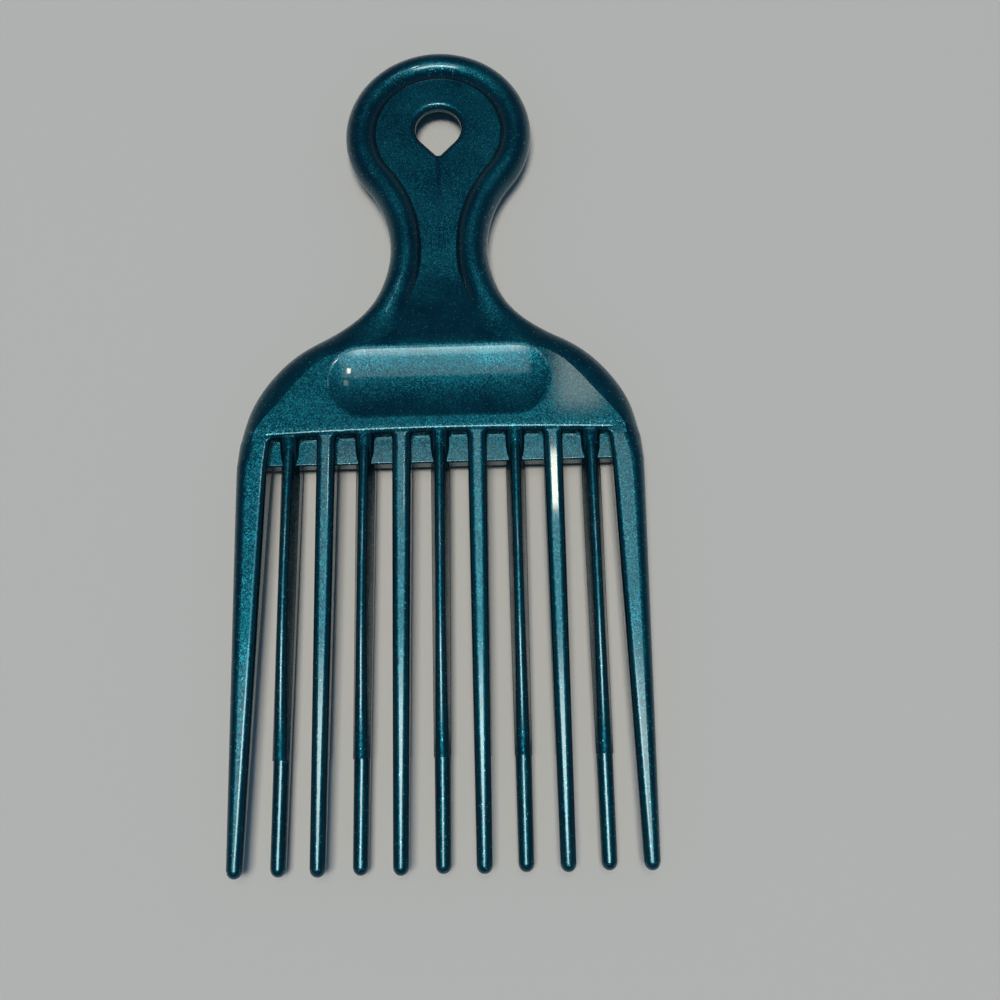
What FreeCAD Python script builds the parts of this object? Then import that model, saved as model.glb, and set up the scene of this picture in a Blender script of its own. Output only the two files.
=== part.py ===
"""One-piece moulded afro pick, in millimetres.

The pick lies on its back as it would on a table: +X across the teeth, +Y towards the head of
the handle, +Z up out of the front face. The origin is under the middle of its bounding box.
The moulding is divided along its own features: the rounded rim and the thin panel of the
handle, the shoulder that carries the teeth, the webs between the roots, and the two rows of
teeth. Front teeth start flush with the front face and rear teeth flush with the back, and each
row ramps away from the other face at its root.
"""
import FreeCAD, Part
import collections
import math
import os
import Sketcher

# Driving sizes: name and length in millimetres.
DRIVING_SIZES = (
    ("head_diameter", 38.5),
    ("bead_diameter", 6.6),
    ("panel_thickness", 2.6),
    ("neck_width", 19.6),
    ("upper_neck_radius", 23.45),
    ("lower_neck_radius", 20.97),
    ("shoulder_width", 76.9),
    ("shoulder_radius", 27.3),
    ("shoulder_sink", 4.58),
    ("spine_thickness", 8.0),
    ("dome_width", 9.0),
    ("face_trim", 0.12),
    ("hole_diameter", 9.5),
    ("hole_rise", 1.4),
    ("hole_drop", 5.7),
    ("hole_point_radius", 0.8),
    ("hole_lip_radius", 1.15),
    ("scoop_length", 42.4),
    ("scoop_height", 14.6),
    ("scoop_depth", 0.9),
    ("scoop_margin", 3.0),
    ("scoop_edge_radius", 3.0),
    ("tooth_length", 78.85),
    ("wall_run", 0.2),
    ("wall_bow", 0.65),
    ("wall_edge_radius", 0.9),
    ("web_length", 5.45),
    ("web_thickness", 3.0),
    ("web_edge_radius", 0.35),
    ("tooth_root_width", 3.6),
    ("tooth_tip_width", 2.75),
    ("tooth_tip_depth", 2.8),
    ("row_overlap", 0.55),
    ("ramp_rise", 0.3),
    ("ramp_length", 14.0),
    ("run_reach", 1.1),
    ("root_flare", 0.7),
    ("root_embed", 1.5),
    ("face_drop", 0.1),
    ("guard_root_width", 6.3),
    ("guard_gap", 1.45),
    ("guard_tip_width", 2.85),
    ("guard_corner_radius", 0.8),
    ("cut_overrun", 1.0),
)

FRONT_TOOTH_COUNT = 6
REAR_TOOTH_COUNT = 5
TOOTH_COUNT = FRONT_TOOTH_COUNT + REAR_TOOTH_COUNT

# Corner radii of a tooth's section, as shares of the width or depth that they round. A tooth is
# flatter on its own face and fully round towards the other.
OWN_CORNER_SHARE = 0.34
FAR_CORNER_SHARE = 0.485
TIP_CORNER_SHARE = 0.485
GUARD_OUTER_SHARE = 0.97
TIP_BALL_SHARE = 0.985

# Widest flare of a root, as a share of the gap that it flares into.
FLARE_SHARE = 0.4

# Round flare of a root below the wall: distance from the wall and width that is left, both as
# shares of the flare's radius.
FLARE_CURVE_SHARES = (
    (0.0, 1.0),
    (0.1, 0.56),
    (0.4, 0.2),
    (1.0, 0.0),
)

# Foot of a root's ramp beyond the webs: distance from the webs' end as a share of ramp_length, and
# height over the straight run that is left, as a share of the height at the webs' end.
RAMP_FOOT_SHARES = (
    (0.0, 1.0),
    (0.15, 0.55),
    (0.45, 0.18),
    (1.0, 0.0),
)

# Edge of the domed shoulder, from the face out to the parting line: distance in from the
# outline as a share of dome_width, and height as a share of half the spine's thickness.
DOME_SHARES = (
    (1.0, 1.0),
    (0.66, 1.0),
    (0.40, 0.91),
    (0.22, 0.70),
    (0.094, 0.553),
    (0.0, 0.30),
    (0.0, 0.0),
)

# Stations of the shoulder, as shares of the turn of the neck arc and then of the shoulder
# arc, each with the shares of bead and dome in its edge. What is left is the round end edge.
NECK_STATION_SHARES = (
    (0.0, 1.0, 0.0),
    (0.06, 1.0, 0.0),
    (0.33, 0.96, 0.04),
    (0.67, 0.62, 0.38),
    (1.0, 0.25, 0.75),
)
SHOULDER_STATION_SHARES = (
    (0.25, 0.05, 0.95),
    (0.5, 0.0, 1.0),
    (0.75, 0.0, 0.6),
    (1.0, 0.0, 0.0),
)

# Section of a tooth: its place along Y, its share of the root's flare and its share of the ramp's
# foot, which is None where the section is on the ramp itself.
Station = collections.namedtuple("Station", ("place", "flare", "foot"))

document = FreeCAD.newDocument("AfroPick")


def make_sheet():
    """Put the driving sizes into a sheet whose aliases the rest of the model reads."""
    sheet = document.addObject("Spreadsheet::Sheet", "Sizes")
    for row, (name, length) in enumerate(DRIVING_SIZES, start=1):
        sheet.set(f"A{row}", name)
        sheet.set(f"B{row}", str(length))
        sheet.setAlias(f"B{row}", name)
    document.recompute()
    return sheet


sizes = make_sheet()


def value(formula):
    """Length that a formula over the sheet gives now."""
    return float(sizes.evalExpression(str(formula)))


def blend(first, last, start, end, place):
    """Formula of the straight line that is first at start and last at end, read at place."""
    return f"(({first}) + (({last}) - ({first})) * (({place}) - ({start})) / (({end}) - ({start})))"


# Formulas that several pieces share. The outline is a chain of tangent arcs that stands on the
# wall at the roots of the teeth, so the overall length follows from it.
MID_HEIGHT = "(Sizes.spine_thickness / 2)"
HEAD_RADIUS = "(Sizes.head_diameter / 2)"
BEAD_RADIUS = "(Sizes.bead_diameter / 2)"
NECK_HALF = "(Sizes.neck_width / 2)"
UPPER_ARC_X = f"({NECK_HALF} + Sizes.upper_neck_radius)"
LOWER_ARC_X = f"({NECK_HALF} + Sizes.lower_neck_radius)"
SHOULDER_ARC_X = "(Sizes.shoulder_width / 2 - Sizes.shoulder_radius)"
ARC_REACH = "(Sizes.lower_neck_radius + Sizes.shoulder_radius)"
SHOULDER_TO_NECK = f"sqrt({ARC_REACH}^2 - ({LOWER_ARC_X} - {SHOULDER_ARC_X})^2)"
NECK_TO_HEAD = f"sqrt(({HEAD_RADIUS} + Sizes.upper_neck_radius)^2 - {UPPER_ARC_X}^2)"
HANDLE_LENGTH = f"({SHOULDER_TO_NECK} + {NECK_TO_HEAD} + {HEAD_RADIUS} - Sizes.shoulder_sink)"
OVERALL_LENGTH = f"(Sizes.tooth_length + {HANDLE_LENGTH})"
TIP_Y = f"(-{OVERALL_LENGTH} / 2)"
WALL_Y = f"({TIP_Y} + Sizes.tooth_length)"
SHOULDER_ARC_Y = f"({WALL_Y} - Sizes.shoulder_sink)"
NECK_Y = f"({SHOULDER_ARC_Y} + {SHOULDER_TO_NECK})"
HEAD_Y = f"({NECK_Y} + {NECK_TO_HEAD})"
HOLE_Y = f"({HEAD_Y} + Sizes.hole_rise)"
SPINE_END_Y = f"({WALL_Y} - Sizes.wall_run)"
WEB_END_Y = f"({SPINE_END_Y} - Sizes.web_length)"
EMBED_Y = f"({WALL_Y} + Sizes.root_embed)"
ROOT_Y = f"({WALL_Y} - Sizes.wall_run / 2)"
SHOULDER_END_Y = f"({SPINE_END_Y} - 2 * Sizes.wall_bow)"
FACE_REACH = f"({MID_HEIGHT} - Sizes.face_drop)"
TIP_REACH = "(Sizes.tooth_tip_depth - Sizes.row_overlap)"
RAMP_REACH = "(Sizes.web_thickness / 2 + Sizes.ramp_rise)"
LEAST_TIP = "min(Sizes.tooth_tip_width; Sizes.guard_tip_width; Sizes.tooth_tip_depth)"
TIP_BALL_RADIUS = f"({TIP_BALL_SHARE} / 2 * {LEAST_TIP})"
TIP_BASE_Y = f"({TIP_Y} + {TIP_BALL_RADIUS})"


def shoulder_half_width(place):
    """Formula of the outline's half width on the shoulder arc at a place along Y."""
    drop = f"(({place}) - {SHOULDER_ARC_Y})"
    return f"({SHOULDER_ARC_X} + sqrt(Sizes.shoulder_radius^2 - {drop}^2))"


# The inner teeth share out the width between the two outer ones, which guard the row.
GUARD_OUTER = f"({shoulder_half_width(ROOT_Y)} - Sizes.face_drop / 2)"
GUARD_INNER = f"({GUARD_OUTER} - Sizes.guard_root_width)"
LAST_INNER_X = f"({GUARD_INNER} - Sizes.guard_gap - Sizes.tooth_root_width / 2)"
PITCH = f"({LAST_INNER_X} / {(TOOTH_COUNT - 3) / 2})"
GUARD_TIP_OUTER = f"({(TOOTH_COUNT - 1) / 2} * {PITCH} + Sizes.guard_tip_width / 2)"
INNER_FLARE = f"min(Sizes.root_flare; {FLARE_SHARE} * ({PITCH} - Sizes.tooth_root_width))"
GUARD_FLARE = f"min(Sizes.root_flare; {FLARE_SHARE} * Sizes.guard_gap)"
BOW_RADIUS = f"(({GUARD_INNER}^2 + Sizes.wall_bow^2) / (2 * Sizes.wall_bow))"


def new_sketch(body, name, plane_role, offset):
    """Sketch on one of a body's own origin planes, moved along that plane's normal."""
    plane = next(item for item in body.Origin.OriginFeatures if item.Role == plane_role)
    sketch = body.newObject("Sketcher::SketchObject", name)
    sketch.AttachmentSupport = [(plane, "")]
    sketch.MapMode = "FlatFace"
    sketch.setExpression("AttachmentOffset.Base.z", offset)
    return sketch


def dimension(sketch, kind, *references):
    """Add a sketch dimension whose last reference is the formula that drives it."""
    formula = references[-1]
    constraint = Sketcher.Constraint(kind, *references[:-1], value(formula))
    index = sketch.addConstraint(constraint)
    sketch.setExpression(f"Constraints[{index}]", str(formula))


def relate(sketch, kind, *references):
    """Add a sketch constraint that has no size."""
    sketch.addConstraint(Sketcher.Constraint(kind, *references))


def point(x, y):
    """Point in a sketch's own plane."""
    return FreeCAD.Vector(x, y, 0)


def arc(centre_x, centre_y, radius, start, end):
    """Counter-clockwise sketch arc from one angle to another."""
    circle = Part.Circle(point(centre_x, centre_y), FreeCAD.Vector(0, 0, 1), radius)
    return Part.ArcOfCircle(circle, start, end)


def draw_polygon(sketch, corners):
    """Closed outline through corners given as pairs of formulas."""
    places = [point(value(x), value(y)) for x, y in corners]
    for index, place in enumerate(places):
        sketch.addGeometry(Part.LineSegment(place, places[(index + 1) % len(places)]))
    for index, (x, y) in enumerate(corners):
        relate(sketch, "Coincident", index, 2, (index + 1) % len(places), 1)
        dimension(sketch, "DistanceX", index, 1, x)
        dimension(sketch, "DistanceY", index, 1, y)


def draw_handle_line(sketch):
    """Middle line of the rim: up one side of the neck, round the head and down the other."""
    bead = value(BEAD_RADIUS)
    arc_x = value(UPPER_ARC_X)
    neck_y = value(NECK_Y)
    head_y = value(HEAD_Y)
    side_radius = value(f"Sizes.upper_neck_radius + {BEAD_RADIUS}")
    lean = math.atan2(head_y - neck_y, arc_x)
    sketch.addGeometry(arc(-arc_x, neck_y, side_radius, 0, lean))
    sketch.addGeometry(arc(0, head_y, value(HEAD_RADIUS) - bead, -lean, math.pi + lean))
    sketch.addGeometry(arc(arc_x, neck_y, side_radius, math.pi - lean, math.pi))
    relate(sketch, "Tangent", 0, 2, 1, 2)
    relate(sketch, "Tangent", 1, 1, 2, 1)
    relate(sketch, "PointOnObject", 1, 3, -2)
    relate(sketch, "Equal", 0, 2)
    relate(sketch, "Horizontal", 0, 3, 0, 1)
    relate(sketch, "Horizontal", 2, 3, 2, 2)
    dimension(sketch, "DistanceY", 1, 3, HEAD_Y)
    dimension(sketch, "Radius", 1, f"{HEAD_RADIUS} - {BEAD_RADIUS}")
    dimension(sketch, "Radius", 0, f"Sizes.upper_neck_radius + {BEAD_RADIUS}")
    dimension(sketch, "DistanceX", 0, 3, f"-{UPPER_ARC_X}")
    dimension(sketch, "DistanceX", 2, 3, UPPER_ARC_X)


def draw_teardrop(sketch):
    """Hanging hole: a round top with straight sides that run down to a rounded point."""
    radius = value("Sizes.hole_diameter / 2")
    point_radius = value("Sizes.hole_point_radius")
    centre_y = value(HOLE_Y)
    point_y = centre_y - value("Sizes.hole_drop")
    slope = math.asin((radius - point_radius) / (centre_y - point_y))
    side = point(math.cos(slope), -math.sin(slope))
    mirror_side = point(-side.x, side.y)
    top = point(0, centre_y)
    foot = point(0, point_y)
    sketch.addGeometry(arc(0, centre_y, radius, -slope, math.pi + slope))
    sketch.addGeometry(Part.LineSegment(top + side * radius, foot + side * point_radius))
    sketch.addGeometry(arc(0, point_y, point_radius, math.pi + slope, 2 * math.pi - slope))
    sketch.addGeometry(Part.LineSegment(foot + mirror_side * point_radius, top + mirror_side * radius))
    relate(sketch, "Tangent", 0, 1, 1, 1)
    relate(sketch, "Tangent", 1, 2, 2, 2)
    relate(sketch, "Tangent", 2, 1, 3, 1)
    relate(sketch, "Tangent", 3, 2, 0, 2)
    relate(sketch, "PointOnObject", 0, 3, -2)
    relate(sketch, "PointOnObject", 2, 3, -2)
    dimension(sketch, "DistanceY", 0, 3, HOLE_Y)
    dimension(sketch, "DistanceY", 2, 3, f"{HOLE_Y} - Sizes.hole_drop")
    dimension(sketch, "Radius", 0, "Sizes.hole_diameter / 2")
    dimension(sketch, "Radius", 2, "Sizes.hole_point_radius")


def draw_section(sketch, left, right, low, high, corners):
    """Rounded section of a tooth.

    The corner radii are those at low right, high right, high left and low left.
    """
    x_left, x_right, z_low, z_high = (value(edge) for edge in (left, right, low, high))
    quarter = math.pi / 2
    places = (
        (x_right, z_low, -1, 1),
        (x_right, z_high, -1, -1),
        (x_left, z_high, 1, -1),
        (x_left, z_low, 1, 1),
    )
    bends = []
    for turn, (x, z, across, up) in enumerate(places):
        radius = value(corners[turn])
        bends.append(arc(x + across * radius, z + up * radius, radius, (turn - 1) * quarter, turn * quarter))
    for turn, bend in enumerate(bends):
        sketch.addGeometry(Part.LineSegment(bends[turn - 1].EndPoint, bend.StartPoint))
        sketch.addGeometry(bend)
    edge_count = 2 * len(bends)
    for index in range(edge_count):
        relate(sketch, "Tangent", index, 2, (index + 1) % edge_count, 1)
    relate(sketch, "Horizontal", 0)
    relate(sketch, "Vertical", 2)
    relate(sketch, "Horizontal", 4)
    relate(sketch, "Vertical", 6)
    for turn, radius in enumerate(corners):
        dimension(sketch, "Radius", 2 * turn + 1, radius)
    dimension(sketch, "DistanceY", 0, 1, low)
    dimension(sketch, "DistanceX", 2, 1, right)
    dimension(sketch, "DistanceY", 4, 1, high)
    dimension(sketch, "DistanceX", 6, 1, left)


def make_rim():
    """Round bead that borders the head and runs down both sides of the neck."""
    body = document.addObject("PartDesign::Body", "handle_rim")
    path = new_sketch(body, "rim_line", "XY_Plane", MID_HEIGHT)
    draw_handle_line(path)
    profile = new_sketch(body, "rim_bead", "XZ_Plane", f"-{NECK_Y}")
    start_x = f"({BEAD_RADIUS} - {NECK_HALF})"
    centre = point(value(start_x), value(MID_HEIGHT))
    profile.addGeometry(Part.Circle(centre, FreeCAD.Vector(0, 0, 1), value(BEAD_RADIUS)))
    dimension(profile, "Radius", 0, BEAD_RADIUS)
    dimension(profile, "DistanceX", 0, 3, start_x)
    dimension(profile, "DistanceY", 0, 3, MID_HEIGHT)
    document.recompute()
    pipe = body.newObject("PartDesign::AdditivePipe", "rim_sweep")
    pipe.Profile = profile
    pipe.Spine = (path, [])
    document.recompute()
    return body


def make_panel(rim):
    """Thin plate inside the rim, with the hanging hole and its rolled lip."""
    body = document.addObject("PartDesign::Body", "panel_blank")
    outline = new_sketch(body, "panel_outline", "XY_Plane", MID_HEIGHT)
    draw_handle_line(outline)
    right_foot = outline.Geometry[2].EndPoint
    left_foot = outline.Geometry[0].StartPoint
    outline.addGeometry(Part.LineSegment(right_foot, left_foot))
    relate(outline, "Coincident", 2, 2, 3, 1)
    relate(outline, "Coincident", 3, 2, 0, 1)
    document.recompute()
    plate = body.newObject("PartDesign::Pad", "panel_plate")
    plate.Profile = outline
    plate.Midplane = True
    plate.setExpression("Length", "Sizes.panel_thickness")
    document.recompute()
    opening = new_sketch(body, "hole_outline", "XY_Plane", MID_HEIGHT)
    draw_teardrop(opening)
    document.recompute()
    hole = body.newObject("PartDesign::Pocket", "hanging_hole")
    hole.Profile = opening
    hole.Midplane = True
    hole.setExpression("Length", "Sizes.panel_thickness + 2 * Sizes.cut_overrun")
    document.recompute()
    if hole.Shape.Volume >= plate.Shape.Volume:
        raise RuntimeError("the hanging hole removed nothing from the panel")
    reach = value("Sizes.hole_drop + Sizes.hole_diameter")
    centre = FreeCAD.Vector(0, value(HOLE_Y), value(MID_HEIGHT))
    half = value("Sizes.panel_thickness / 2")
    lip_edges = []
    for index, edge in enumerate(hole.Shape.Edges, start=1):
        middle = edge.CenterOfMass - centre
        flat = edge.BoundBox.ZLength < half
        if flat and math.hypot(middle.x, middle.y) < reach / 2:
            lip_edges.append(f"Edge{index}")
    lip = body.newObject("PartDesign::Fillet", "hole_lip")
    lip.Base = (hole, lip_edges)
    lip.setExpression("Radius", "Sizes.hole_lip_radius")
    document.recompute()
    panel = document.addObject("Part::Cut", "handle_panel")
    panel.Base = body
    panel.Tool = rim
    document.recompute()
    return panel


def bead_edge():
    """Edge profile at the neck: up the rim's inner side from the panel and down its outer."""
    bead = value(BEAD_RADIUS)
    plate = value("Sizes.panel_thickness / 2")
    rise = math.asin(plate / bead)
    handle = 4 / 3 * math.tan((math.pi / 2 - rise) / 4) * bead
    quarter_handle = 4 / 3 * math.tan(math.pi / 8) * bead
    crease = (bead + bead * math.cos(rise), plate)
    return (
        crease,
        (crease[0] - handle * math.sin(rise), crease[1] + handle * math.cos(rise)),
        (bead + handle, bead),
        (bead, bead),
        (bead - quarter_handle, bead),
        (0, quarter_handle),
        (0, 0),
    )


def dome_edge():
    """Edge profile of the shoulder: a broad roll from the face to the parting line."""
    width = value("Sizes.dome_width")
    half = value(MID_HEIGHT)
    trim = value("Sizes.face_trim")
    return tuple((inset * width, rise * (half + trim)) for inset, rise in DOME_SHARES)


def round_edge():
    """Edge profile where the outer teeth start: a quarter round of the spine's half thickness."""
    half = value(MID_HEIGHT)
    trim = value("Sizes.face_trim")
    diagonal = math.sqrt(0.5)
    handle = 4 / 3 * math.tan(math.pi / 16) * half
    shift = handle * diagonal
    knee = (half - half * diagonal, half * diagonal)
    return (
        (half, half + trim),
        (half - handle, half + trim),
        (knee[0] + shift, knee[1] + shift),
        knee,
        (knee[0] - shift, knee[1] - shift),
        (0, handle),
        (0, 0),
    )


def mix_edges(bead_share, dome_share):
    """Edge profile between the bead, the dome and the round end edge."""
    round_share = 1 - bead_share - dome_share
    parts = ((bead_share, bead_edge()), (dome_share, dome_edge()), (round_share, round_edge()))
    pole_count = len(DOME_SHARES)
    insets = [sum(share * edge[pole][0] for share, edge in parts) for pole in range(pole_count)]
    heights = [sum(share * edge[pole][1] for share, edge in parts) for pole in range(pole_count)]
    return list(zip(insets, heights))


def shoulder_section(y, half_width, slant, edge):
    """Closed section of the shoulder across X, made of four like quarters.

    The outline crosses the section at a slant, which widens the edge in it.
    """
    middle = value(MID_HEIGHT)
    stretch = 1 / math.sqrt(slant)
    quarter = [(half_width - inset * stretch, height) for inset, height in edge]

    def curve(poles, side, way):
        """One curved stretch of the edge on one side and one way from the middle height."""
        bezier = Part.BezierCurve()
        bezier.setPoles([FreeCAD.Vector(side * x, y, middle + way * z) for x, z in poles])
        return bezier.toShape()

    def flat(way):
        """Face line between the two edges, on one way from the middle height."""
        x, z = quarter[0]
        ends = [FreeCAD.Vector(side * way * x, y, middle + way * z) for side in (-1, 1)]
        return Part.LineSegment(*ends).toShape()

    inner = quarter[:4]
    outer = quarter[3:]
    edges = [flat(1), curve(inner, 1, 1), curve(outer, 1, 1)]
    edges += [curve(outer[::-1], 1, -1), curve(inner[::-1], 1, -1), flat(-1)]
    edges += [curve(inner, -1, -1), curve(outer, -1, -1)]
    edges += [curve(outer[::-1], -1, 1), curve(inner[::-1], -1, 1)]
    return Part.Wire(edges)


def make_shoulder_blank():
    """Smooth skin from the neck, where the rim fades out, to the broad end at the teeth."""
    lower_radius = value("Sizes.lower_neck_radius")
    shoulder_radius = value("Sizes.shoulder_radius")
    neck_y = value(NECK_Y)
    arc_y = value(SHOULDER_ARC_Y)
    arc_x = value(SHOULDER_ARC_X)
    full_turn = math.acos(value(f"({LOWER_ARC_X} - {SHOULDER_ARC_X}) / {ARC_REACH}"))
    end_turn = math.asin((value(SHOULDER_END_Y) - arc_y) / shoulder_radius)
    sections = []
    for turn_share, bead_share, dome_share in NECK_STATION_SHARES:
        turn = turn_share * full_turn
        half_width = value(LOWER_ARC_X) - lower_radius * math.cos(turn)
        y = neck_y - lower_radius * math.sin(turn)
        edge = mix_edges(bead_share, dome_share)
        sections.append(shoulder_section(y, half_width, math.cos(turn), edge))
    for turn_share, bead_share, dome_share in SHOULDER_STATION_SHARES:
        turn = full_turn + turn_share * (end_turn - full_turn)
        half_width = arc_x + shoulder_radius * math.cos(turn)
        y = arc_y + shoulder_radius * math.sin(turn)
        edge = mix_edges(bead_share, dome_share)
        sections.append(shoulder_section(y, half_width, math.cos(turn), edge))
    blank = document.addObject("Part::Feature", "shoulder_blank")
    blank.Shape = Part.makeLoft(sections, True, False)
    return blank


def make_face_trim():
    """Slab of the spine's thickness that leaves the shoulder's two faces flat."""
    slab = document.addObject("Part::Box", "face_slab")
    slab.setExpression("Length", "2 * Sizes.shoulder_width")
    slab.setExpression("Width", f"2 * {OVERALL_LENGTH}")
    slab.setExpression("Height", "Sizes.spine_thickness")
    slab.setExpression("Placement.Base.x", "-Sizes.shoulder_width")
    slab.setExpression("Placement.Base.y", f"-{OVERALL_LENGTH}")
    return slab


def make_scoop():
    """Capsule that dips into the front face and leaves the shallow finger scoop."""
    half_height = "(Sizes.scoop_height / 2)"
    radius = f"(({half_height}^2 + Sizes.scoop_depth^2) / (2 * Sizes.scoop_depth))"
    reach = f"(Sizes.scoop_length / 2 - {half_height})"
    y = f"({WALL_Y} + Sizes.scoop_margin + {half_height})"
    z = f"(Sizes.spine_thickness - Sizes.scoop_depth + {radius})"
    across = FreeCAD.Rotation(FreeCAD.Vector(0, 1, 0), 90)
    trough = document.addObject("Part::Cylinder", "scoop_trough")
    trough.Placement = FreeCAD.Placement(FreeCAD.Vector(), across)
    trough.setExpression("Radius", radius)
    trough.setExpression("Height", f"2 * {reach}")
    trough.setExpression("Placement.Base.x", f"-{reach}")
    pieces = [trough]
    for name, side in (("scoop_left_end", "-"), ("scoop_right_end", "")):
        ball = document.addObject("Part::Sphere", name)
        ball.setExpression("Radius", radius)
        ball.setExpression("Placement.Base.x", f"{side}{reach}")
        pieces.append(ball)
    for piece in pieces:
        piece.setExpression("Placement.Base.y", y)
        piece.setExpression("Placement.Base.z", z)
    scoop = document.addObject("Part::MultiFuse", "scoop")
    scoop.Shapes = pieces
    return scoop


def make_wall_cutter():
    """Bowed block with a wedge-shaped mouth that slants the walls on both sides of the webs."""
    body = document.addObject("PartDesign::Body", "wall_cutter")
    sketch = new_sketch(body, "wall_profile", "YZ_Plane", "0")
    wall_height = f"({MID_HEIGHT} - Sizes.web_thickness / 2)"
    lip = "(Sizes.web_thickness / 4)"
    mouth_y = f"({WALL_Y} + Sizes.wall_run * Sizes.cut_overrun / {wall_height})"
    deep_y = f"({SPINE_END_Y} - Sizes.wall_run * {lip} / {wall_height})"
    top = "(Sizes.spine_thickness + Sizes.cut_overrun)"
    corners = (
        (mouth_y, top),
        (deep_y, f"{MID_HEIGHT} + {lip}"),
        (deep_y, f"{MID_HEIGHT} - {lip}"),
        (mouth_y, "-Sizes.cut_overrun"),
        (WEB_END_Y, "-Sizes.cut_overrun"),
        (WEB_END_Y, top),
    )
    draw_polygon(sketch, corners)
    axis_y = f"({WALL_Y} - {BOW_RADIUS})"
    foot = point(value(axis_y), 0)
    sketch.addGeometry(Part.LineSegment(foot, foot + point(0, value(top))), True)
    axis = len(corners)
    relate(sketch, "Vertical", axis)
    dimension(sketch, "DistanceX", axis, 1, axis_y)
    dimension(sketch, "DistanceY", axis, 2, top)
    relate(sketch, "PointOnObject", axis, 1, -1)
    document.recompute()
    block = body.newObject("PartDesign::Revolution", "wall_block")
    block.Profile = sketch
    block.ReferenceAxis = (sketch, ["Axis0"])
    block.Midplane = True
    block.setExpression("Angle", f"2 * asin(({GUARD_INNER} + Sizes.guard_corner_radius) / {BOW_RADIUS})")
    document.recompute()
    return body


def is_scoop_edge(box):
    """Whether the box of an edge lies on the front face and inside the scoop's outline."""
    near = value("Sizes.face_drop")
    half_length = value("Sizes.scoop_length / 2")
    low_y = value(f"{WALL_Y} + Sizes.scoop_margin")
    high_y = low_y + value("Sizes.scoop_height")
    across = max(-box.XMin, box.XMax) < half_length + near
    along = box.YMin > low_y - near and box.YMax < high_y + near
    return across and along and box.ZMin > value("Sizes.spine_thickness") - near


def make_shoulder():
    """Shoulder with its soft-edged scoop and the two bowed, round-edged walls behind the teeth."""
    trimmed = document.addObject("Part::Common", "shoulder_trimmed")
    trimmed.Base = make_shoulder_blank()
    trimmed.Tool = make_face_trim()
    cutters = document.addObject("Part::MultiFuse", "shoulder_cutters")
    cutters.Shapes = [make_scoop(), make_wall_cutter()]
    cut = document.addObject("Part::Cut", "shoulder_cut")
    cut.Base = trimmed
    cut.Tool = cutters
    document.recompute()
    near = value("Sizes.face_drop")
    wall_y = value(WALL_Y)
    pitch = value(PITCH)
    wall_radius = value("Sizes.wall_edge_radius")
    scoop_radius = value("Sizes.scoop_edge_radius")
    rounded = []
    for index, edge in enumerate(cut.Shape.Edges, start=1):
        box = edge.BoundBox
        if abs(box.YMax - wall_y) < near and box.ZLength < near and box.XLength > pitch:
            rounded.append((index, wall_radius, wall_radius))
        if is_scoop_edge(box):
            rounded.append((index, scoop_radius, scoop_radius))
    shoulder = document.addObject("Part::Fillet", "shoulder")
    shoulder.Base = cut
    shoulder.Edges = rounded
    document.recompute()
    return shoulder


def tooth_x(number):
    """Formula of the middle of a tooth at its tip."""
    return f"({number - (TOOTH_COUNT - 1) / 2} * {PITCH})"


def root_place(number):
    """Formula of the place along Y where a tooth leaves the bowed wall."""
    return f"({ROOT_Y} - Sizes.wall_bow * ({tooth_x(number)} / {GUARD_INNER})^2)"


def tooth_stations(number):
    """Sections of a tooth from root to tip."""
    root = root_place(number)
    stations = [Station(EMBED_Y, 1.0, None)]
    for distance, flare in FLARE_CURVE_SHARES:
        stations.append(Station(f"({root} - {distance} * Sizes.root_flare)", flare, None))
    for distance, foot in RAMP_FOOT_SHARES:
        stations.append(Station(f"({WEB_END_Y} - {distance} * Sizes.ramp_length)", 0.0, foot))
    return stations + [Station(TIP_BASE_Y, 0.0, 0.0)]


def tooth_reaches(number, station):
    """How far a tooth reaches from the middle height, to its own face and to the other."""
    if station.place == EMBED_Y:
        return (f"({FACE_REACH} - Sizes.face_drop)",) * 2
    root = root_place(number)
    own = blend(TIP_REACH, FACE_REACH, TIP_BASE_Y, root, station.place)
    if station.foot is None:
        return own, blend(RAMP_REACH, FACE_REACH, WEB_END_Y, root, station.place)
    run = blend("Sizes.row_overlap", "Sizes.run_reach", TIP_BASE_Y, WEB_END_Y, station.place)
    return own, f"({run} + {station.foot} * ({RAMP_REACH} - Sizes.run_reach))"


def inner_sides(number, station):
    """Left and right formula of an inner tooth's section, and its corner radii.

    The radii are those at the left and right of its own face and of the other.
    """
    x = tooth_x(number)
    root = root_place(number)
    width = blend("Sizes.tooth_tip_width", "Sizes.tooth_root_width", TIP_BASE_Y, root, station.place)
    left_flare = GUARD_FLARE if number == 1 else INNER_FLARE
    right_flare = GUARD_FLARE if number == TOOTH_COUNT - 2 else INNER_FLARE
    own_corner = f"({OWN_CORNER_SHARE} * {width})"
    far_corner = f"({FAR_CORNER_SHARE} * {width})"
    if station.place == TIP_BASE_Y:
        own_corner = far_corner = f"({TIP_CORNER_SHARE} * {LEAST_TIP})"
    left = f"{x} - {width} / 2 - {station.flare} * {left_flare}"
    right = f"{x} + {width} / 2 + {station.flare} * {right_flare}"
    return left, right, (own_corner, own_corner), (far_corner, far_corner)


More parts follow.
